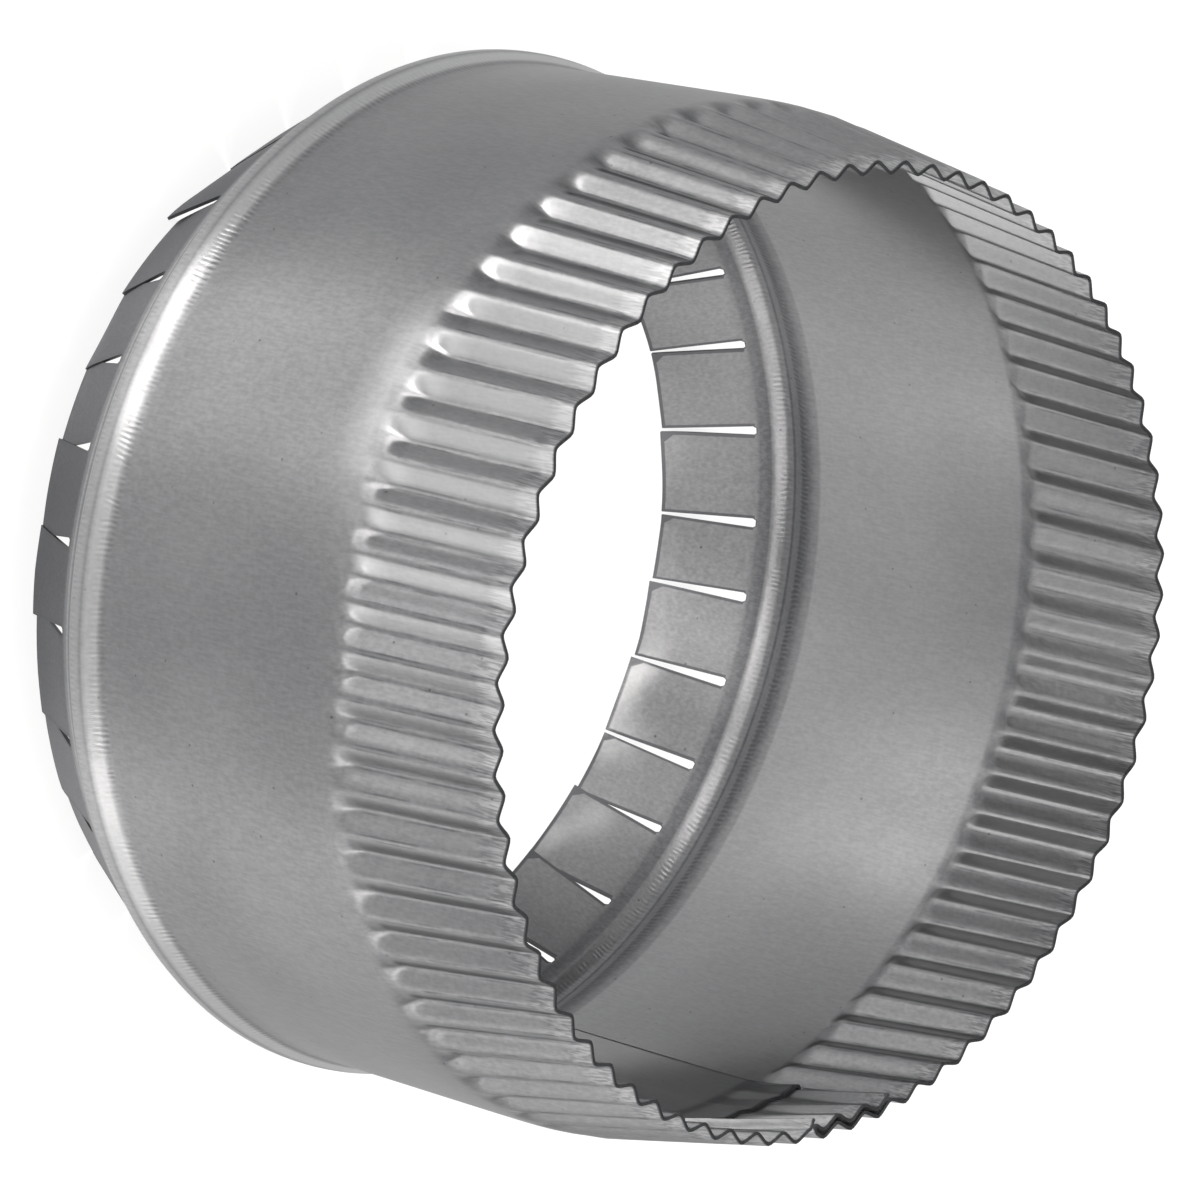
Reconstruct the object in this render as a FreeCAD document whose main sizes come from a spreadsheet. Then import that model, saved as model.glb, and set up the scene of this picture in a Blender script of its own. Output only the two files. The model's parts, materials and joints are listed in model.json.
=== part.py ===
import FreeCAD, Part
import math
import os
import Sketcher

# Duct starting collar, 6 inch, one folded sheet of galvanised steel, in millimetres.
# The collar stands on its bent tabs with the crimped end up. The origin is the centre of
# the tab ends' plane, +Z is the duct's axis, and the locked seam lies at +X.

doc = FreeCAD.newDocument("starting_collar")

# Driving dimensions
SIZES = [
    # The drum
    ("body_radius", 76.2),
    ("overall_height", 96.0),
    ("sheet_thickness", 0.5),
    # The tabs and the slots between them
    ("tab_count", 33),
    ("seam_tab_share", 1.36),
    ("seam_tab_middle", 1.5),
    ("tab_bend_height", 15.6),
    ("tab_bend_angle", 28.0),
    ("tab_bend_flat", 1.2),
    ("slot_to_bend", 1.8),
    ("slot_width", 1.7),
    ("slot_tip_gap", 0.3),
    ("slot_corner", 0.4),
    # The stop bead, a rolled rib with a flat crest
    ("neck_length", 0.8),
    ("bead_lower_flank", 1.7),
    ("bead_crest_width", 1.7),
    ("bead_upper_flank", 3.8),
    ("bead_rise", 1.7),
    # The locked seam
    ("seam_to_bead", 2.9),
    ("ply_gap", 0.08),
    ("joggle_run", 0.8),
    ("fold_pitches", 1.24),
    ("return_pitches", 1.44),
    # The crimps
    ("crimp_count", 72),
    ("crimp_start", 67.0),
    ("crimp_run_in", 4.5),
    ("crimp_depth", 1.6),
    ("rim_depth", 1.6),
    ("rim_reduction", 3.9),
    ("rim_oval", 1.7),
    ("rim_oval_angle", 66.5),
]

sheet = doc.addObject("Spreadsheet::Sheet", "sizes")
for row, (alias, value) in enumerate(SIZES, start=1):
    sheet.set(f"A{row}", alias)
    sheet.set(f"B{row}", str(value))
    sheet.setAlias(f"B{row}", alias)
doc.recompute()


def size(alias):
    """The value of a driving dimension."""
    return float(sheet.get(alias))


def check_all():
    """Stop if any object of the document failed."""
    doc.recompute()
    for item in doc.Objects:
        if "Invalid" in item.State or "Error" in item.State:
            raise RuntimeError(f"{item.Name} failed: {item.State}")


def origin_part(body, role):
    """An origin plane or axis of a body, found by its role."""
    return next(item for item in body.Origin.OriginFeatures if item.Role == role)


def new_sketch(body, name, plane):
    """An empty sketch on one of the body's own origin planes."""
    sketch = body.newObject("Sketcher::SketchObject", name)
    sketch.AttachmentSupport = [(origin_part(body, plane), "")]
    sketch.MapMode = "FlatFace"
    return sketch


def bind(sketch, kind, *place, formula):
    """Add a dimension to a sketch and tie it to the sheet."""
    number = sketch.addConstraint(Sketcher.Constraint(kind, *place, evaluate(formula)))
    sketch.setExpression(f"Constraints[{number}]", formula)


def evaluate(formula):
    """The number that a formula over the sheet's cells gives."""
    return float(sheet.evalExpression(formula.replace("sizes.", "")))


def closed_polygon(sketch, corners):
    """Draw a polygon whose corners are given as pairs of formulas and tie each corner."""
    points = [FreeCAD.Vector(evaluate(across), evaluate(up), 0) for across, up in corners]
    for start, end in zip(points, points[1:] + points[:1]):
        sketch.addGeometry(Part.LineSegment(start, end), False)
    count = len(points)
    for side in range(count):
        sketch.addConstraint(Sketcher.Constraint("Coincident", side, 2, (side + 1) % count, 1))
    for side, (across, up) in enumerate(corners):
        bind(sketch, "DistanceX", -1, 1, side, 1, formula=across)
        bind(sketch, "DistanceY", -1, 1, side, 1, formula=up)


def revolve(body, name, sketch):
    """Turn a sketch once round the duct's axis."""
    item = body.newObject("PartDesign::Revolution", name)
    item.Profile = sketch
    item.ReferenceAxis = (origin_part(body, "Z_Axis"), [""])
    item.Angle = 360


def round_edges(body, radius, low, high):
    """Names of a body's circular edges of one radius between two heights."""
    names = []
    for number, edge in enumerate(body.Shape.Edges, start=1):
        curve = edge.Curve
        if not isinstance(curve, Part.Circle) or abs(curve.Radius - radius) > 0.001:
            continue
        if low < curve.Center.z < high:
            names.append(f"Edge{number}")
    return names


def chamfer(body, name, edges, formula):
    """Take off edges of a body by the size that a formula over the sheet gives."""
    base = body.Tip
    item = body.newObject("PartDesign::Chamfer", name)
    item.Base = (base, edges)
    item.setExpression("Size", formula)
    check_all()


outer_radius = size("body_radius")
inner_radius = outer_radius - size("sheet_thickness")

# Rolled ring: the cone that the tabs are cut from, the neck, the stop bead and the plain
# wall up to the seam's foot, one profile of the sheet revolved about the duct's axis. A bend
# of the inner face lies higher or lower than the outer one by the sheet's mitre there.

LEAN = "tan(sizes.tab_bend_angle * 1deg)"
SECANT = "(1 / cos(sizes.tab_bend_angle * 1deg))"
HALF_LEAN = "tan(sizes.tab_bend_angle * 0.5deg)"
INNER = "sizes.body_radius - sizes.sheet_thickness"
TIP = f"sizes.body_radius - sizes.tab_bend_height * {LEAN}"


def mitre(run):
    """The sheet's mitre where it bends out or back over the bead's rise in a given run."""
    return f"sizes.sheet_thickness * (sqrt(({run}) ^ 2 + sizes.bead_rise ^ 2) - ({run})) / sizes.bead_rise"


BEAD_FOOT = "sizes.tab_bend_height + sizes.neck_length"
CREST_LOW = f"{BEAD_FOOT} + sizes.bead_lower_flank"
CREST_HIGH = f"{CREST_LOW} + sizes.bead_crest_width"
BEAD_TOP = f"{CREST_HIGH} + sizes.bead_upper_flank"
SEAM_FOOT = f"{BEAD_TOP} + sizes.seam_to_bead"
LOWER_MITRE = mitre("sizes.bead_lower_flank")
UPPER_MITRE = mitre("sizes.bead_upper_flank")

ring = doc.addObject("PartDesign::Body", "rolled_ring")
ring_sketch = new_sketch(ring, "ring_profile", "XZ_Plane")
closed_polygon(ring_sketch, [
    (TIP, "0"),
    ("sizes.body_radius", "sizes.tab_bend_height"),
    ("sizes.body_radius", BEAD_FOOT),
    ("sizes.body_radius + sizes.bead_rise", CREST_LOW),
    ("sizes.body_radius + sizes.bead_rise", CREST_HIGH),
    ("sizes.body_radius", BEAD_TOP),
    ("sizes.body_radius", SEAM_FOOT),
    (INNER, SEAM_FOOT),
    (INNER, f"{BEAD_TOP} - {UPPER_MITRE}"),
    (f"{INNER} + sizes.bead_rise", f"{CREST_HIGH} - {UPPER_MITRE}"),
    (f"{INNER} + sizes.bead_rise", f"{CREST_LOW} + {LOWER_MITRE}"),
    (INNER, f"{BEAD_FOOT} + {LOWER_MITRE}"),
    (INNER, f"sizes.tab_bend_height + sizes.sheet_thickness * {HALF_LEAN}"),
    (f"{TIP} - sizes.sheet_thickness * {SECANT}", "0"),
])
revolve(ring, "rolled_wall", ring_sketch)
check_all()
bend_low = size("tab_bend_height") - size("sheet_thickness")
bend_high = size("tab_bend_height") + size("sheet_thickness")
for side, radius in (("outside", outer_radius), ("inside", inner_radius)):
    chamfer(ring, f"tab_bend_{side}", round_edges(ring, radius, bend_low, bend_high),
            "sizes.tab_bend_flat / 2")

# One slot through the wall at +X, open at the tabs' ends. It is wide at the root, with its
# corners taken off, and nearly closed at the tips, because the tabs lean together.

slot_sketch = doc.addObject("Sketcher::SketchObject", "slot_profile")
slot_sketch.Placement = FreeCAD.Placement(FreeCAD.Vector(), FreeCAD.Rotation(90, 0, 90))
slot_sketch.setExpression("Placement.Base.x", "sizes.body_radius / 2")
ROOT = "sizes.tab_bend_height - sizes.slot_to_bend"
HALF_ROOT, HALF_TIP = "sizes.slot_width / 2", "sizes.slot_tip_gap / 2"
SHOULDER, FLAT_END = f"{ROOT} - sizes.slot_corner", f"{HALF_ROOT} - sizes.slot_corner"
closed_polygon(slot_sketch, [
    (HALF_TIP, "0"), (HALF_ROOT, SHOULDER), (FLAT_END, ROOT),
    (f"-({FLAT_END})", ROOT), (f"-{HALF_ROOT}", SHOULDER), (f"-{HALF_TIP}", "0")])

slot = doc.addObject("Part::Extrusion", "slot")
slot.Base = slot_sketch
slot.DirMode = "Normal"
slot.setExpression("LengthFwd", "sizes.body_radius")
slot.Solid = True
check_all()

# The slots are evenly spaced, except that the tab which carries the seam is wider than the rest.
slot_pitch = 360 / (size("tab_count") - 1 + size("seam_tab_share"))
first_slot = size("seam_tab_middle") + slot_pitch * size("seam_tab_share") / 2
slots = doc.addObject("Part::Feature", "slots")
slots.Shape = Part.makeCompound([
    slot.Shape.rotated(FreeCAD.Vector(), FreeCAD.Vector(0, 0, 1), first_slot + slot_pitch * copy)
    for copy in range(int(size("tab_count")))])

tabs = doc.addObject("Part::Cut", "tabbed_ring")
tabs.Base = ring
tabs.Tool = slots
check_all()

# Sections of the sheet across the duct's axis. A point is given by its radius and its
# angle from the seam. Every section has the same edges in the same order, so that one
# ruled loft joins them. Layers count inwards from the flush outer ply, one ply and one
# gap each: 0 is the drum, 1 the hooked edge, 2 the fold's return and 3 the joggled ply.

half_sheet = size("sheet_thickness") / 2
layer_step = size("sheet_thickness") + size("ply_gap")
crimps = int(size("crimp_count"))
pitch = 360 / crimps
OUTSIDE, INSIDE = half_sheet, -half_sheet
AXIS = FreeCAD.Vector(0, 0, 1)


def angle_of(distance):
    """The angle that a distance along the drum spans."""
    return math.degrees(distance / size("body_radius"))


# The fold is the sheet's one edge, turned in and back under the drum. The other edge
# joggles in under it, and is turned out and back to hook between the fold's two plies.
fold_edge = -size("fold_pitches") * pitch
return_edge = size("return_pitches") * pitch
joggle_end = fold_edge - angle_of(layer_step + half_sheet + size("ply_gap"))
joggle_start = joggle_end - angle_of(size("joggle_run"))
hook_fold = return_edge + angle_of(layer_step)
hook_edge = fold_edge + angle_of(layer_step)


class Level:
    """The drum at one height: its crest radius, its crimps' depth and how oval it is."""

    def __init__(self, height, depth=0.0, lock_depth=0.0, oval=0.0):
        taper = (height - size("crimp_start")) / (size("overall_height") - size("crimp_start"))
        self.height = height
        self.crest = size("body_radius") - half_sheet - max(0.0, taper) * size("rim_reduction")
        self.depth = depth
        self.lock_depth = lock_depth
        self.oval = oval

    def swell(self, angle):
        """How far the sheet stands out of the circle at an angle from the seam."""
        return self.oval * math.cos(2 * math.radians(angle - size("rim_oval_angle")))

    def point(self, radius, angle):
        turn = math.radians(angle)
        return FreeCAD.Vector(radius * math.cos(turn), radius * math.sin(turn), self.height)

    def arc(self, radius, start, end):
        """An edge on a circle about the duct's axis."""
        circle = Part.Circle(FreeCAD.Vector(0, 0, self.height), AXIS, radius)
        return Part.ArcOfCircle(circle, math.radians(start), math.radians(end)).toShape()

    def radius(self, layer, place=None):
        """Mid-sheet radius at a crease, or at the fold's edge where no place is given.

        Whole places are crests and halves are valleys, counted in pitches from the seam.
        """
        if place is None:
            return self.crest + self.swell(fold_edge) - layer * layer_step
        radius = self.crest + self.swell(place * pitch) - layer * layer_step
        if place == int(place):
            return radius
        over_lock = abs(place) < 2 or place > crimps - 2
        return radius - (self.lock_depth if over_lock else self.depth)

    def turn_round(self, layer, angle, reach, way):
        """A half circle round a layer's edge, from the ply outside it to the one inside."""
        centre = self.point(self.radius(layer), angle)
        outward = self.point(1, angle) - self.point(0, angle)
        along = AXIS.cross(outward) * way
        return Part.Arc(centre + outward * reach, centre + along * reach,
                        centre - outward * reach).toShape()


def line(start, end):
    return Part.LineSegment(start, end).toShape()


def right_of(start, end):
    """Unit vector square to a line, outward on the way round the drum."""
    along = end - start
    return FreeCAD.Vector(along.y, -along.x, 0).normalize()


def wave(level, layer, side, crests, end_angle, end_radius, corner=None):
    """One face of the sheet, from the fold's edge over some crests to an end.

    Flanks between creases are flat, and meet in the mitre of the sheet's face there. Where
    the crimps have no depth, they lie on the drum's circle.
    """
    places = [step / 2 - 1 for step in range(2 * crests - 1)]
    stations = [(level.radius(layer), fold_edge)]
    stations += [(level.radius(layer, place), place * pitch) for place in places]
    stations.append((end_radius, end_angle))
    if level.depth == 0:
        radius = level.radius(layer) + side
        angles = [angle for _, angle in stations]
        if corner:
            angles[-1] = math.degrees(math.atan2(corner.y, corner.x)) % 360
        flanks = [level.arc(radius, *pair) for pair in zip(angles, angles[1:])]
        return flanks, level.point(radius, angles[-1])
    middle = [level.point(*station) for station in stations]
    square = [right_of(*pair) for pair in zip(middle, middle[1:])]
    face = [level.point(level.radius(layer) + side, fold_edge)]
    for before, after, crest_point in zip(square, square[1:], middle[1:]):
        face.append(crest_point + (before + after) * (side / (1 + before.dot(after))))
    face.append(corner or middle[-1] + square[-1] * side)
    return [line(*pair) for pair in zip(face, face[1:])], face[-1]


def joggle(level, side):
    """Both corners of one face where the sheet's other edge steps in under the fold."""
    outer = level.radius(0, crimps - 1.5)
    inner = outer - 3 * layer_step
    start = level.point(outer, joggle_start)
    end = level.point(inner, joggle_end)
    shift = right_of(start, end) * side
    along = (end - start).normalize()
    corners = []
    for radius, near in ((outer + side, start), (inner + side, end)):
        origin = near + shift
        flat = FreeCAD.Vector(origin.x, origin.y, 0)
        middle = flat.dot(along)
        root = math.sqrt(middle ** 2 - flat.dot(flat) + radius ** 2)
        meets = [origin + along * (-middle + sign * root) for sign in (-1, 1)]
        corners.append(min(meets, key=near.distanceToPoint))
    return corners


def fold_bends(level):
    """The fold's two round faces: the outer one and the one inside the pocket."""
    return [level.turn_round(1, fold_edge, layer_step + side, -1) for side in (OUTSIDE, INSIDE)]


def crimped_section(level):
    """The whole sheet at one height, with a crease for each crimp, as one closed wire."""
    outer_first, outer_last = joggle(level, OUTSIDE)
    inner_first, inner_last = joggle(level, INSIDE)
    drum_end = (crimps, joggle_start + 360, level.radius(0, crimps - 1.5))
    return_end = (3, return_edge, level.radius(2, 1.5))
    outer, _ = wave(level, 0, OUTSIDE, *drum_end, corner=outer_first)
    inner, _ = wave(level, 0, INSIDE, *drum_end, corner=inner_first)
    back_outer, back_outer_end = wave(level, 2, OUTSIDE, *return_end)
    back_inner, back_inner_end = wave(level, 2, INSIDE, *return_end)
    bend, pocket = fold_bends(level)
    return Part.Wire(
        outer + [line(outer_first, outer_last), line(outer_last, inner_last),
                 line(inner_last, inner_first)]
        + inner[::-1] + [pocket] + back_outer + [line(back_outer_end, back_inner_end)]
        + back_inner[::-1] + [bend])


def drum_section(level):
    """The whole sheet at one height under the crimps."""
    outer_first, outer_last = joggle(level, OUTSIDE)
    inner_first, inner_last = joggle(level, INSIDE)
    drum, back = level.radius(0), level.radius(2)
    bend, pocket = fold_bends(level)

    def round_to(corner, radius):
        return level.arc(radius, fold_edge, math.degrees(math.atan2(corner.y, corner.x)) + 360)

    return Part.Wire([
        round_to(outer_first, drum + OUTSIDE),
        line(outer_first, outer_last),
        line(outer_last, inner_last),
        line(inner_last, inner_first),
        round_to(inner_first, drum + INSIDE),
        pocket,
        level.arc(back + OUTSIDE, fold_edge, return_edge),
        line(level.point(back + OUTSIDE, return_edge), level.point(back + INSIDE, return_edge)),
        level.arc(back + INSIDE, fold_edge, return_edge),
        bend])


def hook_section(level):
    """The joggled edge past its joggle: under the fold, out and back into its pocket."""
    (_, outer_last), (_, inner_last) = joggle(level, OUTSIDE), joggle(level, INSIDE)
    under, between = level.radius(3), level.radius(1)

    def under_fold(corner, radius):
        return level.arc(radius, math.degrees(math.atan2(corner.y, corner.x)), hook_fold)

    return Part.Wire([
        under_fold(outer_last, under + OUTSIDE),
        level.turn_round(2, hook_fold, layer_step - half_sheet, 1),
        level.arc(between + INSIDE, hook_edge, hook_fold),
        line(level.point(between + INSIDE, hook_edge), level.point(between + OUTSIDE, hook_edge)),
        level.arc(between + OUTSIDE, hook_edge, hook_fold),
        level.turn_round(2, hook_fold, layer_step + half_sheet, 1),
        under_fold(inner_last, under + INSIDE),
        line(inner_last, outer_last)])


def add_shape(name, shape):
    """A shape worked out by this file, as an object of the document."""
    item = doc.addObject("Part::Feature", name)
    item.Shape = shape
    return item


foot = Level(evaluate(SEAM_FOOT))
start = Level(size("crimp_start"))
full = Level(size("crimp_start") + size("crimp_run_in"), size("crimp_depth"))
rim = Level(size("overall_height"), size("rim_depth"), size("rim_depth"), size("rim_oval"))

drum_face = add_shape("drum_section", Part.Face(drum_section(foot)))
drum = doc.addObject("Part::Extrusion", "drum")
drum.Base = drum_face
drum.Dir = AXIS
drum.DirMode = "Custom"
drum.setExpression("LengthFwd", f"sizes.crimp_start - ({SEAM_FOOT})")
drum.Solid = True

crimped_end = doc.addObject("Part::Loft", "crimped_end")
crimped_end.Sections = [
    add_shape(f"crimp_section_{number}", crimped_section(level))
    for number, level in enumerate((start, full, rim), start=1)]
crimped_end.Solid = True
crimped_end.Ruled = True

hooked_edge = doc.addObject("Part::Loft", "hooked_edge")
hooked_edge.Sections = [
    add_shape(f"hook_section_{number}", hook_section(level))
    for number, level in enumerate((foot, start, full), start=1)]
hooked_edge.Solid = True
hooked_edge.Ruled = True
check_all()

collar = doc.addObject("Part::MultiFuse", "starting_collar")
collar.Shapes = [tabs, drum, crimped_end, hooked_edge]
check_all()
if collar.Shape.isNull() or not collar.Shape.isValid() or len(collar.Shape.Solids) != 1:
    raise RuntimeError("the collar is not one valid solid")

os.makedirs("parts", exist_ok=True)
collar.Shape.exportStep("parts/starting_collar.step")
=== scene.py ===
import json
import math

import bmesh
import bpy
from mathutils import Matrix, Vector, noise


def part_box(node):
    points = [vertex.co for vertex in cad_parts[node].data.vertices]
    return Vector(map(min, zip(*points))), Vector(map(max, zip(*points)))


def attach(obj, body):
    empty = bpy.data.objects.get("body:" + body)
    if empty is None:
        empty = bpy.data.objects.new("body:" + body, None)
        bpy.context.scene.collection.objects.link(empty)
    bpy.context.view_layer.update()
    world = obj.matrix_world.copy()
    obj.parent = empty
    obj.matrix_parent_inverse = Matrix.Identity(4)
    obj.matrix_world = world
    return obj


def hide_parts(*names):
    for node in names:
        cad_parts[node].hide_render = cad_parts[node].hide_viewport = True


# Duct starting collar: one sheet of galvanised steel, rolled into a drum, locked along a
# side seam, beaded, crimped at its upper end and slotted into tabs at its lower end.
# It stands on its tabs, with the duct's axis up and the seam at +X.

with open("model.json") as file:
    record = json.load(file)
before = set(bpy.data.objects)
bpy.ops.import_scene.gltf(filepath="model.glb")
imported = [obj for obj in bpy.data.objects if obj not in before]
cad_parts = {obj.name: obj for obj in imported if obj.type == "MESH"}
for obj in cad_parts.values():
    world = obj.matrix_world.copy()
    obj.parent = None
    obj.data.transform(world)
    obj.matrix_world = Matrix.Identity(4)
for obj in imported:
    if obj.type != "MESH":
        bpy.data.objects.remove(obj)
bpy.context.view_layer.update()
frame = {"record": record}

# Sizes in millimetres, turned to metres by MM
MM = 0.001
sleeve = next(mount for mount in frame["record"]["mounts"] if mount["name"] == "duct_sleeve")
BODY_RADIUS = sleeve["dims"]["r_mm"]
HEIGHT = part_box("starting_collar")[1].z / MM
SHEET = 0.5
MIDDLE = BODY_RADIUS - SHEET / 2

TABS = 33
SEAM_TAB_SHARE = 1.36
SEAM_TAB_MIDDLE = 1.5
TAB_PITCH = 360 / (TABS - 1 + SEAM_TAB_SHARE)
TAB_BEND_HEIGHT = 15.6
TAB_LEAN = math.tan(math.radians(28))
SLOT_HEIGHT = 13.8
SLOT_WIDTH = 1.5
SLOT_TIP_GAP = 0.5
SLOT_CORNER = 0.45

BEAD_FOOT = 16.4
BEAD_CREST_LOW = 18.1
BEAD_CREST_HIGH = 19.8
BEAD_TOP = 23.6
BEAD_RISE = 1.7

SEAM_FOOT = 26.5
PLY_STEP = SHEET + 0.08
JOGGLE_RUN = 0.8
CRIMPS = 72
PITCH = 360 / CRIMPS
FOLD_EDGE = -1.24 * PITCH
RETURN_EDGE = 1.44 * PITCH

CRIMP_START = 67.0
CRIMP_RUN_IN = 4.5
CRIMP_DEPTH = 1.6
RIM_REDUCTION = 3.9
RIM_OVAL = 1.7
RIM_OVAL_ANGLE = 66.5
FULL = CRIMP_START + CRIMP_RUN_IN

# How finely the sheet is divided
COLUMNS_PER_CRIMP = 12
COLUMNS_PER_TAB = 12
SLOT_COLUMNS = 4


def polar(radius, angle, height):
    """A point in metres from a radius, an angle in degrees and a height in millimetres."""
    turn = math.radians(angle)
    return Vector((radius * math.cos(turn), radius * math.sin(turn), height)) * MM


def blend(low, high, value):
    """A smooth step from 0 at low to 1 at high."""
    share = min(max((value - low) / (high - low), 0), 1)
    return share * share * (3 - 2 * share)


# The rolled ring: tabs, neck, bead and the plain wall under the seam's foot


def ring_radius(height):
    """Mid-sheet radius of the tabs' cone, the bend, the bead and the wall at a height."""
    bend = 1.4
    below = TAB_BEND_HEIGHT - height
    lean = TAB_LEAN * (below / 2 + math.sqrt((below / 2) ** 2 + (bend / 4) ** 2))
    lower = soft_ramp(height, BEAD_FOOT, BEAD_CREST_LOW)
    upper = soft_ramp(height, BEAD_CREST_HIGH, BEAD_TOP)
    return MIDDLE - lean + BEAD_RISE * (lower - upper)


def soft_ramp(value, low, high):
    """A straight ramp from 0 to 1 with rounded ends."""
    share = (value - low) / (high - low)
    round_share = 0.22

    def hinge(distance):
        return distance / 2 + math.sqrt((distance / 2) ** 2 + (round_share / 3) ** 2)

    return hinge(share) - hinge(share - 1)


def slot_half_width(slot, height):
    """Half a slot's width at a height: below 0 where the tips of two tabs lap."""
    share = min(height / (SLOT_HEIGHT - SLOT_CORNER), 1)
    tip = -SLOT_LAPS.get(slot % TABS, -SLOT_TIP_GAP)
    return (tip + (SLOT_WIDTH - tip) * share) / 2


RING_HEIGHTS = ([SLOT_HEIGHT * step / 8 for step in range(9)]
                + [14.3, 14.8, 15.2, 15.6, 16.0]
                + [16.3, 16.6, 16.9, 17.3, 17.7, 18.0, 18.3, 18.7, 19.2, 19.6, 19.9, 20.3, 20.8,
                   21.5, 22.2, 22.8, 23.3, 23.7, 24.2]
                + [SEAM_FOOT])
SLOT_ROOT_ROW = RING_HEIGHTS.index(SLOT_HEIGHT)


# Slots off their even places, in degrees by their number from the seam, and tabs whose tips
# are bent out, in millimetres at their two edges
SLOT_DRIFT = {2: 0.5, 3: 1.4, 4: -0.3, 7: -1.5, 8: -0.6, 10: -0.4, 20: 0.3, 22: -0.7, 23: -0.8,
              24: -1.8}
BENT_OUT = {18: (0.0, 1.7), 19: (-0.2, 0.35), 20: (-0.2, 0.4), 21: (-0.2, -0.3),
            22: (0.45, -0.15), 23: (0.4, 0.5), 24: (-0.3, 0.3), 25: (-0.25, 0.35), 26: (-0.25, 0.0),
            0: (0.3, -0.3), 1: (0.3, -0.3), 2: (0.3, -0.3), 3: (0.3, 0.0), 4: (0.0, 0.1),
            5: (0.0, 0.0), 6: (0.1, 0.1), 7: (0.0, 0.1), 8: (0.1, 0.0), 9: (0.0, -0.1)}
SLOT_LAPS = {1: 1.3, 2: 1.3, 3: 0.5, 19: 1.3, 20: 1.3, 21: 1.3, 22: 1.3, 23: 1.3, 24: 1.3,
             25: 1.3, 26: 1.3}


def rolled_sheet(mesh, columns, rows, place, cut_out):
    """Add a flat grid to a mesh, without the cells to cut out, and roll it into its place."""
    corners = bmesh.ops.create_grid(mesh, x_segments=columns, y_segments=rows, size=0.5)["verts"]
    cells = dict.fromkeys(face for corner in corners for face in corner.link_faces)

    def in_grid(point):
        return (point.x + 0.5) * columns, (point.y + 0.5) * rows

    offcuts = [cell for cell in cells if cut_out(*in_grid(cell.calc_center_median()))]
    for corner in corners:
        corner.co = place(*map(round, in_grid(corner.co)))
    bmesh.ops.delete(mesh, geom=offcuts, context="FACES")


def slot_angle(number):
    """Where a slot lies round the ring: evenly spaced but for the wide tab at the seam."""
    turns, slot = divmod(number, TABS)
    even = SEAM_TAB_MIDDLE + TAB_PITCH * (SEAM_TAB_SHARE / 2 + slot)
    return 360 * turns + even + SLOT_DRIFT.get(slot, 0)


def tab_spring(tab, share, height):
    """How far a tab, bent by hand, stands out of the even cone, more so at its tip."""
    def side(edge):
        return 0.45 * noise.noise(Vector((tab * 3.3, edge * 2.7, 7.1)))

    first, last = BENT_OUT.get(tab, (side(0), side(1)))
    lean = (first + (last - first) * share) * max(0, 1 - height / SLOT_HEIGHT)
    curl = 1.1 * max(0, noise.noise(Vector((tab * 1.9 + share * 0.8, 4.2, 1.3))) + 0.1)
    return lean - curl * max(0, 1 - height / 5.0) ** 2


def add_ring(mesh):
    """The ring as a grid whose columns follow the slots, with the slots taken out."""

    def in_slot(column, row):
        from_slot = (column + COLUMNS_PER_TAB / 2) % COLUMNS_PER_TAB - COLUMNS_PER_TAB / 2
        return abs(from_slot) < SLOT_COLUMNS / 2 and row < SLOT_ROOT_ROW

    def place(column, row):
        height = RING_HEIGHTS[row]
        tab, step = divmod(column, COLUMNS_PER_TAB)
        half_slots = [math.degrees(slot_half_width(slot, height) / ring_radius(height))
                      for slot in (tab, tab + 1)]
        first, last = slot_angle(tab) + half_slots[0], slot_angle(tab + 1) - half_slots[1]
        edge = SLOT_COLUMNS // 2
        if edge <= step <= COLUMNS_PER_TAB - edge:
            share = (step - edge) / (COLUMNS_PER_TAB - SLOT_COLUMNS)
            angle = first + (last - first) * share
        else:
            share = 0 if step < edge else 1
            inner = 0.62 if step % COLUMNS_PER_TAB else 0
            angle = (slot_angle(tab + share)
                     + (1 - 2 * share) * inner * half_slots[share])
        if row == SLOT_ROOT_ROW and step in (edge, COLUMNS_PER_TAB - edge):
            height -= SLOT_CORNER
        radius = ring_radius(height) + tab_spring(tab, share, height)
        return polar(radius, angle, height)

    rolled_sheet(mesh, TABS * COLUMNS_PER_TAB, len(RING_HEIGHTS) - 1, place, in_slot)
    bmesh.ops.remove_doubles(mesh, verts=mesh.verts, dist=0.00001)


# The drum: one strip that runs from the fold's return ply round the drum to the hook


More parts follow.
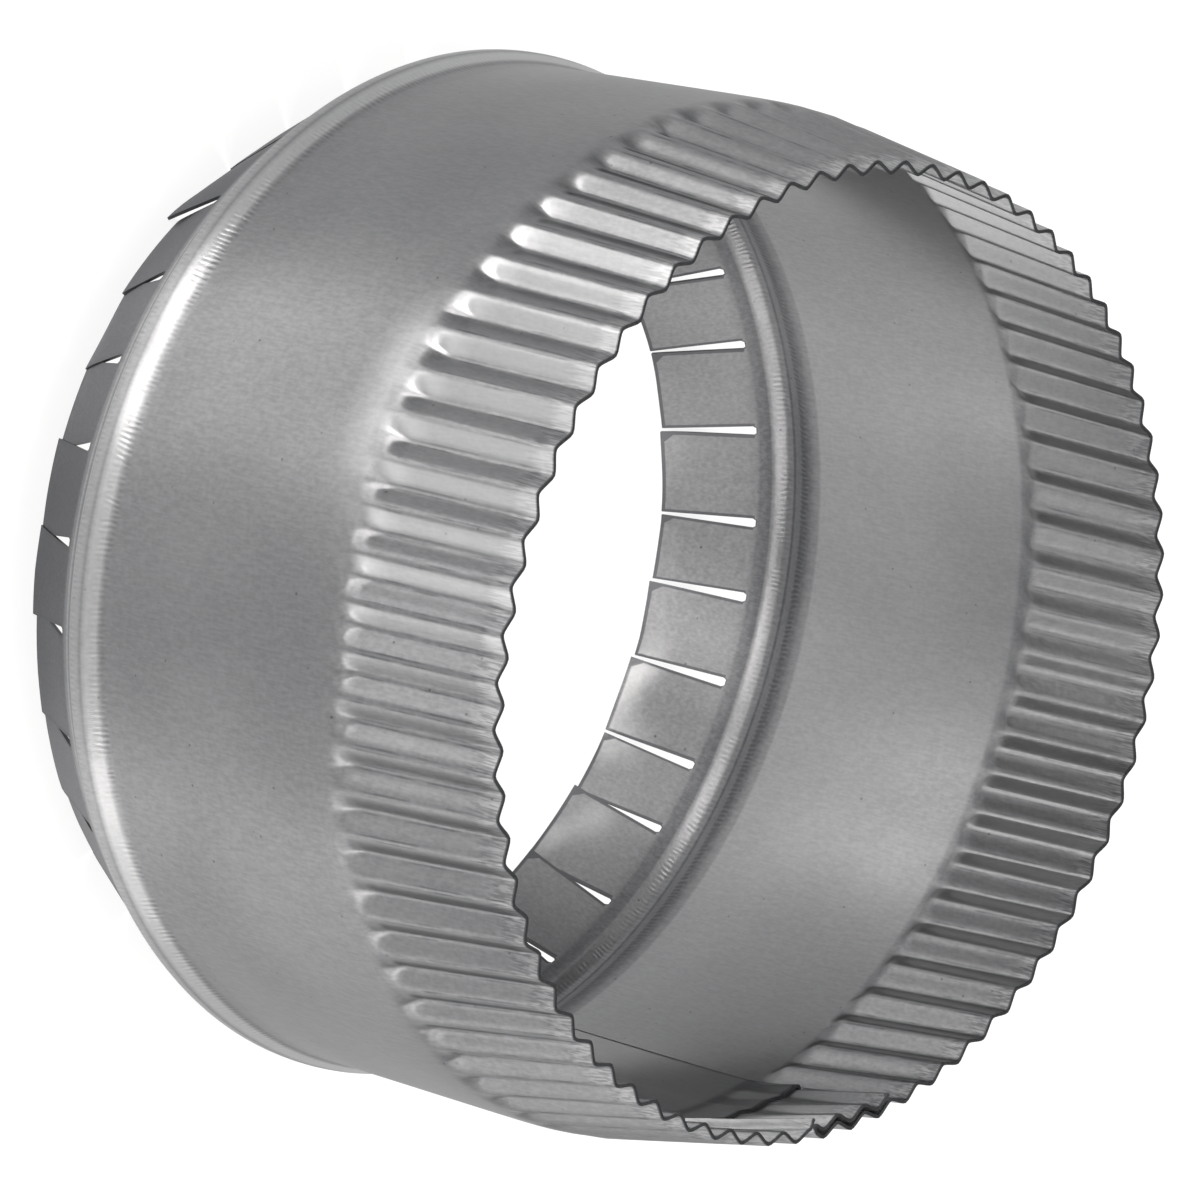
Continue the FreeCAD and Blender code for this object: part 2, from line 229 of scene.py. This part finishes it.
def stations():
    """Angle and depth in plies of each column of the strip, from the return to the hook."""
    step = PITCH / COLUMNS_PER_CRIMP
    ply_angle = math.degrees(PLY_STEP / MIDDLE)
    joggle_end = FOLD_EDGE - ply_angle * 1.6
    joggle_start = joggle_end - math.degrees(JOGGLE_RUN / MIDDLE)
    hook_fold = RETURN_EDGE + ply_angle

    def steps(start, end):
        """Angles at whole steps between two angles, with both of them."""
        low, high = sorted((start, end))
        inner = [step * number for number in range(math.ceil(low / step + 0.3),
                                                   math.floor(high / step - 0.3) + 1)]
        between = [low] + inner + [high]
        return between if start < end else between[::-1]

    def turn(angle, from_ply, way, count=4):
        """A half circle between two plies two steps apart."""
        sign = 1 if from_ply > 1.5 else -1
        return [(angle + way * ply_angle * math.sin(math.pi * part / count),
                 from_ply - 1 + math.cos(math.pi * part / count))
                for part in range(1, count)] if sign else []

    strip = [(angle, 2) for angle in steps(RETURN_EDGE, FOLD_EDGE)]
    strip += turn(FOLD_EDGE, 2, -1)
    strip += [(angle, 0) for angle in steps(FOLD_EDGE, 360 + joggle_start)]
    strip += [(360 + joggle_start + (joggle_end - joggle_start) * part / 4,
               3 * blend(0, 4, part)) for part in (1, 2, 3)]
    joggled = len(strip)
    strip += [(angle, 3) for angle in steps(360 + joggle_end, 360 + hook_fold)]
    strip += turn(360 + hook_fold, 3, 1)
    strip += [(angle, 1) for angle in steps(360 + hook_fold, 360 + FOLD_EDGE + ply_angle)]
    return strip, joggled


def crimp_profile(angle):
    """0 on a crest and 1 in a valley, with flat flanks and rounded creases."""
    sharpness = 0.88
    wave = math.cos(2 * math.pi * angle / PITCH)
    return 0.5 - math.asin(sharpness * wave) / (2 * math.asin(sharpness))


def crimp_depth(angle, height):
    """How deep the crimp at an angle is at a height, with a rounded beginning."""
    crimp = round(angle / PITCH) % CRIMPS
    wander = noise.noise(Vector((crimp * 3.7, 0.5, 2.0)))
    rise = (height - CRIMP_START - 0.8 * wander) / CRIMP_RUN_IN
    over_lock = min(abs(angle), abs(angle - 360)) < 1.8 * PITCH
    if over_lock:
        return CRIMP_DEPTH * max(0, (height - FULL) / (HEIGHT - FULL))
    return CRIMP_DEPTH * blend(0, 1, rise)


def drum_point(angle, plies, height):
    """A point of the drum's mid-sheet."""
    past_start = (height - CRIMP_START) / 2
    taper = (past_start + math.sqrt(past_start ** 2 + 1.3 ** 2)) / (HEIGHT - CRIMP_START)
    swell = RIM_OVAL * max(0, (height - FULL) / (HEIGHT - FULL))
    radius = (MIDDLE - RIM_REDUCTION * taper - plies * PLY_STEP
              + swell * math.cos(2 * math.radians(angle - RIM_OVAL_ANGLE))
              - crimp_depth(angle, height) * crimp_profile(angle))
    return polar(radius, angle, height)


NOTCH_HEIGHT = FULL + 6
DRUM_HEIGHTS = ([SEAM_FOOT, 30, 40, 50, 58, 63, 65.5]
                + [66.2 + 0.5 * step for step in range(13)]
                + [73.2, 75, NOTCH_HEIGHT, 81, 85, 89, 92, 94, 95.2, HEIGHT])


def add_drum(mesh):
    """The drum with its crimps and its seam, rolled up from a flat strip."""
    strip, joggled = stations()

    def in_notch(column, row):
        return column > joggled and DRUM_HEIGHTS[int(row)] >= NOTCH_HEIGHT

    def place(column, row):
        angle, plies = strip[column]
        return drum_point(angle, plies, DRUM_HEIGHTS[row])

    rolled_sheet(mesh, len(strip) - 1, len(DRUM_HEIGHTS) - 1, place, in_notch)


def band(low, high, value, soft=0.6):
    """1 between two values and 0 outside them, with soft ends."""
    return blend(low - soft / 2, low + soft / 2, value) * (
        1 - blend(high - soft / 2, high + soft / 2, value))


def painted_light_and_polish_at(point, normal):
    """Painted light and shade at a point, which also sets how smooth the skin is: 1 is painted bright
    and smoothest, 0 plain and -1 painted dark and roughest.
    """
    height = point.z
    angle = math.degrees(math.atan2(point.y, point.x)) % 360
    flank = 1.7 * math.sin(math.radians(360 * angle / PITCH))
    if normal.x * point.x + normal.y * point.y < 0:
        # Inside: painted highlights near the tips of the tabs between 28° and 66°; painted light on
        # one flank and painted shade on the other of each crimp up to 58°; painted fill light over
        # the wall outside 6° to 132° and above the bead; painted shade in bands across the tabs' bend
        # and the bead; and a painted shadow where the crimps begin.
        painted_tip_highlight = max(0, noise.noise(Vector((angle / 9, height / 7, 3.3))) + 0.25)
        return (1.3 * painted_tip_highlight * band(28, 66, angle, 12) * (1 - blend(1, 10, height))
                - 0.5 * max(-1, min(1, flank)) * band(-1, 58, angle, 16) * blend(67, 70, height)
                + 0.4 * (1 - band(6, 132, angle, 24)) * blend(20, 45, height)
                + 0.3 * blend(24, 26, height) - 0.25 * band(16.6, 19.2, height)
                - 0.7 * band(13.9, 16.3, height) - 0.9 * band(19.3, 19.9, height, 0.4)
                - 0.7 * band(21.6, 24.5, height, 1) - 0.5 * band(67.5, 69.5, height, 2))
    if height < SEAM_FOOT:
        # Outside the ring: painted highlights in bands over the bend and the bead, and painted shade
        # over the outer faces of the tabs below 15 mm.
        return (0.6 * band(20.2, 22.8, height, 1.2) + 0.35 * band(16.8, 19.8, height)
                + 0.4 * band(15.3, 15.9, height, 0.5) - 0.9 * (1 - blend(13.6, 15.2, height)))
    # Outside the drum: a painted highlight on one flank of each crimp, strongest between 205° and
    # 258° and brighter where the crimps begin, a painted pool of light between 222° and 244° around
    # where the crimps begin, and a painted highlight along the rim.
    painted_highlight_reach = band(205, 258, angle, 20) * 0.45 + 0.15
    flank = max(-0.1, min(1, flank))
    return (painted_highlight_reach * flank * blend(CRIMP_START + 1, FULL - 1, height)
            + 0.5 * painted_highlight_reach * max(flank, 0) * band(CRIMP_START, CRIMP_START + 6, height, 5)
            + 0.5 * band(222, 244, angle, 16) * band(62, CRIMP_START + 1, height, 7)
            + 0.25 * blend(HEIGHT - 4, HEIGHT - 1, height))


def finish_piece(name, mesh, skin, edge):
    """An object from a mid-sheet mesh, with the sheet's thickness and smooth faces."""
    bmesh.ops.recalc_face_normals(mesh, faces=mesh.faces)
    data = bpy.data.meshes.new(name)
    mesh.to_mesh(data)
    mesh.free()
    data.materials.append(skin)
    data.materials.append(edge)
    piece = bpy.data.objects.new(name, data)
    bpy.context.scene.collection.objects.link(piece)
    solid = piece.modifiers.new("sheet", "SOLIDIFY")
    solid.thickness = SHEET * MM
    solid.offset = 0
    solid.use_even_offset = True
    solid.material_offset_rim = 1
    depsgraph = bpy.context.evaluated_depsgraph_get()
    thick = bpy.data.meshes.new_from_object(piece.evaluated_get(depsgraph))
    piece.modifiers.clear()
    piece.data = thick
    thick.shade_smooth()
    thick.set_sharp_from_angle(angle=math.radians(50))
    # Painted light and shade for each vertex, which also sets the skin's roughness.
    painted_light_and_polish = thick.attributes.new("painted_light_and_polish", "FLOAT", "POINT")
    for vert, mark in zip(thick.vertices, painted_light_and_polish.data):
        mark.value = painted_light_and_polish_at(vert.co / MM, vert.normal)
    # A dark line on the skin beside every cut edge: partly the burr of the shears and partly painted
    # shade along the edge.
    burr_and_edge_shade = thick.attributes.new("burr_and_edge_shade", "FLOAT", "POINT")
    for face in thick.polygons:
        if face.material_index == 1 and abs(face.center.z / MM - SEAM_FOOT) > SHEET:
            for corner in face.vertices:
                burr_and_edge_shade.data[corner].value = 1
    for vert in thick.vertices:
        vert.co.z = min(max(vert.co.z, 0), HEIGHT * MM)
    return piece


# Materials


def linear(code):
    """Linear colour with alpha from an sRGB hex code."""
    values = [int(code[place:place + 2], 16) / 255 for place in (0, 2, 4)]
    return [value / 12.92 if value <= 0.04045 else ((value + 0.055) / 1.055) ** 2.4
            for value in values] + [1.0]


def add(tree, kind, links=None, **settings):
    """Add a node with its properties, input values and links."""
    node = tree.nodes.new(kind)
    for name, value in settings.items():
        setattr(node, name, value)
    for name, source in (links or {}).items():
        socket = node.inputs[name]
        if isinstance(source, bpy.types.NodeSocket):
            tree.links.new(source, socket)
        else:
            socket.default_value = source
    return node


def galvanised_steel():
    """Galvanised steel sheet, hot-dipped and skin-passed: a satin grey zinc skin.

    The eye sees soft broad reflections, a fine grain along the duct's axis, a faint
    spangle, a few dull specks and fine chatter marks beside the bead. The tone also
    carries painted light and shade, and the skin is smoother where it is painted bright.
    """
    material = bpy.data.materials.new("galvanised_steel_skin_passed")
    material.use_nodes = True
    tree = material.node_tree
    shader = tree.nodes["Principled BSDF"]
    place = add(tree, "ShaderNodeTexCoord").outputs["Object"]
    parts = add(tree, "ShaderNodeSeparateXYZ", {"Vector": place})
    height = parts.outputs["Z"]

    def noise_field(spacing, detail, along=None):
        """Noise of a spacing in millimetres, longer along the duct's axis where asked."""
        density = 1 / (spacing * MM)
        stretched = add(tree, "ShaderNodeMapping", {
            "Vector": place,
            "Scale": (density, density, density if along is None else 1 / (along * MM))})
        field = add(tree, "ShaderNodeTexNoise", {
            "Vector": stretched.outputs["Vector"], "Scale": 1.0, "Detail": detail})
        return field.outputs["Fac"]

    def spread(value, low, high, to_low, to_high):
        """A value spread smoothly from one range over another."""
        return add(tree, "ShaderNodeMapRange", {
            "Value": value, "From Min": low, "From Max": high,
            "To Min": to_low, "To Max": to_high}, interpolation_type="SMOOTHSTEP"
        ).outputs["Result"]

    def combine(operation, first, second):
        return add(tree, "ShaderNodeMath", {0: first, 1: second},
                   operation=operation).outputs["Value"]

    def between(low, high, soft, strength=1.0):
        """A strength between two heights in millimetres, with soft ends."""
        return combine("MULTIPLY",
                       spread(height, (low - soft) * MM, (low + soft) * MM, 0.0, strength),
                       spread(height, (high - soft) * MM, (high + soft) * MM, 1.0, 0.0))

    # Grain 0.4 mm wide and 2 mm long, spangle of 0.8 mm, and specks 4 mm apart
    grain = noise_field(0.4, 2.0, along=2.0)
    spangle = noise_field(0.8, 3.0)
    patches = noise_field(28.0, 1.0)
    specks = add(tree, "ShaderNodeTexVoronoi", {"Vector": place, "Scale": 1 / (4 * MM)})
    speck = spread(specks.outputs["Distance"], 0.03, 0.07, 1.0, 0.0)
    painted_light_and_polish = add(tree, "ShaderNodeAttribute", attribute_name="painted_light_and_polish").outputs["Fac"]
    burr_and_edge_shade = add(tree, "ShaderNodeAttribute", attribute_name="burr_and_edge_shade").outputs["Fac"]

    # Chatter marks of the bead's roller, 0.8 mm apart, on both of its flanks
    turn = combine("ARCTAN2", parts.outputs["Y"], parts.outputs["X"])
    marks = combine("MULTIPLY", turn, 600.0)
    marks = combine("ADD", marks, combine("MULTIPLY", noise_field(6.0, 1.0), 12.0))
    ripple = combine("SINE", marks, 0.0)
    flanks = combine("ADD", between(21.5, 23.6, 0.6), between(17.2, 19.0, 0.4, 0.6))
    uneven = spread(noise_field(2.2, 1.0), 0.35, 0.6, 0.2, 1.0)
    chatter = combine("MULTIPLY", combine("MULTIPLY", ripple, uneven), flanks)

    # Fine double lines along the creases of the crimps, and scratches beside the rim
    off_crease = combine("PINGPONG", combine("DIVIDE", turn, math.radians(PITCH / 2)), 0.5)
    lines = combine("MULTIPLY", spread(off_crease, 0.03, 0.08, 0.0, 1.0),
                    spread(off_crease, 0.10, 0.16, 1.0, 0.0))
    broken = spread(noise_field(1.2, 2.0, along=9.0), 0.42, 0.6, 0.0, 1.0)
    lines = combine("MULTIPLY", combine("MULTIPLY", lines, broken),
                    between(FULL, HEIGHT + 5, 1.5))
    scratches = combine("MULTIPLY", spread(noise_field(0.3, 1.0, along=4.0), 0.4, 0.6, -1.0, 1.0),
                        between(HEIGHT - 4, HEIGHT + 5, 3))

    tone = combine("ADD", spread(grain, 0.3, 0.7, -0.03, 0.03),
                   spread(spangle, 0.3, 0.7, -0.025, 0.025))
    tone = combine("ADD", tone, combine("MULTIPLY", lines, -0.16))
    tone = combine("ADD", tone, combine("MULTIPLY", scratches, 0.12))
    tone = combine("ADD", tone, spread(patches, 0.3, 0.7, -0.03, 0.03))
    # Painted light and shade: lightens the tone up to 0.92 and darkens it by up to 0.2.
    tone = combine("ADD", tone, spread(painted_light_and_polish, 0.0, 1.0, 0.22, 0.92))
    tone = combine("ADD", tone, spread(painted_light_and_polish, -1.0, 0.0, -0.2, 0.0))
    tone = combine("ADD", tone, combine("MULTIPLY", speck, -0.2))
    tone = combine("ADD", tone, combine("MULTIPLY", chatter, 0.08))
    # Dark line beside the cut edges: partly burr, partly painted shade.
    tone = combine("ADD", tone, spread(burr_and_edge_shade, 0.66, 0.86, 0.0, -0.6))
    zinc = add(tree, "ShaderNodeMix", {
        "Factor": tone, "A": linear("5e5f62"), "B": linear("cfd0d1")}, data_type="RGBA")
    tree.links.new(zinc.outputs["Result"], shader.inputs["Base Color"])

    rough = combine("ADD", spread(spangle, 0.3, 0.7, -0.02, 0.02),
                    spread(painted_light_and_polish, -1.0, 1.0, 0.42, 0.34))
    tree.links.new(rough, shader.inputs["Roughness"])

    # Relief in millimetres
    relief = combine("ADD", combine("MULTIPLY", grain, 0.002),
                     combine("MULTIPLY", spangle, 0.002))
    relief = combine("ADD", relief, combine("MULTIPLY", chatter, 0.012))
    bump = add(tree, "ShaderNodeBump", {"Height": relief, "Distance": MM, "Strength": 1.0})
    tree.links.new(bump.outputs["Normal"], shader.inputs["Normal"])

    shader.inputs["Metallic"].default_value = 1.0
    shader.inputs["Anisotropic"].default_value = 0.94
    shader.inputs["Anisotropic Rotation"].default_value = 0.25
    around = add(tree, "ShaderNodeTangent", direction_type="RADIAL", axis="Z")
    tree.links.new(around.outputs["Tangent"], shader.inputs["Tangent"])
    return material


def sheared_steel():
    """Steel bared by the shears, a narrow dark line along every cut edge: partly dull bare steel and
    partly painted shade.
    """
    material = bpy.data.materials.new("sheared_steel_edge")
    material.use_nodes = True
    tree = material.node_tree
    shader = tree.nodes["Principled BSDF"]
    place = add(tree, "ShaderNodeTexCoord").outputs["Object"]
    bite = add(tree, "ShaderNodeTexNoise", {
        "Vector": place, "Scale": 1 / (0.5 * MM), "Detail": 2.0})
    # The dark grey tone is partly bare steel and partly painted shade along the cut edge.
    steel = add(tree, "ShaderNodeMix", {
        "Factor": bite.outputs["Fac"], "A": linear("2c2d2f"), "B": linear("505254")},
        data_type="RGBA")
    tree.links.new(steel.outputs["Result"], shader.inputs["Base Color"])
    shader.inputs["Metallic"].default_value = 1.0
    shader.inputs["Roughness"].default_value = 0.5
    return material


# Stage: a plain pale floor, soft studio lights and the camera at the photograph's angle

CAMERA_AZIMUTH = -110.77
CAMERA_ELEVATION = 40.71
CAMERA_ROLL = 103.1
CAMERA_DISTANCE = 837.6
CAMERA_LENS = 171.0

# Softboxes round the collar: azimuth and elevation in degrees, and power in watts
SOFTBOXES = [
    (0, 88, 16.2), (190, 66, 9.5), (310, 66, 7.6), (250, 66, 5.8), (230, 24, 6.2),
    (210, 24, 7.2), (336, 46, 4.6), (312, 46, 2.9), (310, 24, 3.6), (0, 46, 3.9),
    (330, 24, 1.8), (240, 46, 0.9), (168, 46, 1.0), (192, 46, 0.3)]
SOFTBOX_DISTANCE = 1.4
SOFTBOX_SIZE = 0.36


def make_stage():
    """A pale floor, a soft white world, area lights and the camera."""
    floor_mesh = bmesh.new()
    bmesh.ops.create_grid(floor_mesh, x_segments=1, y_segments=1, size=3.0)
    floor_data = bpy.data.meshes.new("floor")
    floor_mesh.to_mesh(floor_data)
    floor_mesh.free()
    floor = bpy.data.objects.new("floor", floor_data)
    bpy.context.scene.collection.objects.link(floor)
    paint = bpy.data.materials.new("pale_floor_paint")
    paint.use_nodes = True
    paint.node_tree.nodes["Principled BSDF"].inputs["Base Color"].default_value = linear("585858")
    paint.node_tree.nodes["Principled BSDF"].inputs["Roughness"].default_value = 0.8
    paint.node_tree.nodes["Principled BSDF"].inputs["Emission Color"].default_value = linear("ffffff")
    paint.node_tree.nodes["Principled BSDF"].inputs["Emission Strength"].default_value = 0.87
    floor_data.materials.append(paint)

    world = bpy.data.worlds.new("studio")
    world.use_nodes = True
    background = world.node_tree.nodes["Background"]
    background.inputs["Color"].default_value = linear("e6e8ea")
    background.inputs["Strength"].default_value = 0.2
    bpy.context.scene.world = world
    bpy.context.scene.view_settings.view_transform = "Standard"

    target = Vector((0, 0, HEIGHT / 2 * MM))

    def aim(item, direction, distance, roll=0.0):
        """Put an object off the collar's middle, facing it, turned about the view."""
        azimuth, elevation = map(math.radians, direction)
        away = Vector((math.cos(elevation) * math.cos(azimuth),
                       math.cos(elevation) * math.sin(azimuth), math.sin(elevation)))
        turn = away.to_track_quat("Z", "Y").to_matrix().to_4x4()
        item.matrix_world = (Matrix.Translation(target + away * distance) @ turn
                             @ Matrix.Rotation(math.radians(roll), 4, "Z"))

    for azimuth, elevation, watts in SOFTBOXES:
        light = bpy.data.lights.new("softbox", "AREA")
        light.size = SOFTBOX_SIZE
        light.energy = watts
        light.color = linear("fffbf8")[:3]
        item = bpy.data.objects.new("softbox", light)
        bpy.context.scene.collection.objects.link(item)
        aim(item, (azimuth, elevation), SOFTBOX_DISTANCE)

    camera_data = bpy.data.cameras.new("camera")
    camera_data.lens = CAMERA_LENS
    camera_data.sensor_width = 36
    camera_data.clip_start = 0.01
    camera = bpy.data.objects.new("camera", camera_data)
    bpy.context.scene.collection.objects.link(camera)
    aim(camera, (CAMERA_AZIMUTH, CAMERA_ELEVATION), CAMERA_DISTANCE * MM, CAMERA_ROLL)
    bpy.context.scene.camera = camera


make_stage()
flat_sheet = bmesh.new()
add_ring(flat_sheet)
add_drum(flat_sheet)
collar = finish_piece("collar_sheet", flat_sheet, galvanised_steel(), sheared_steel())
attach(collar, "root")
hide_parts("starting_collar")
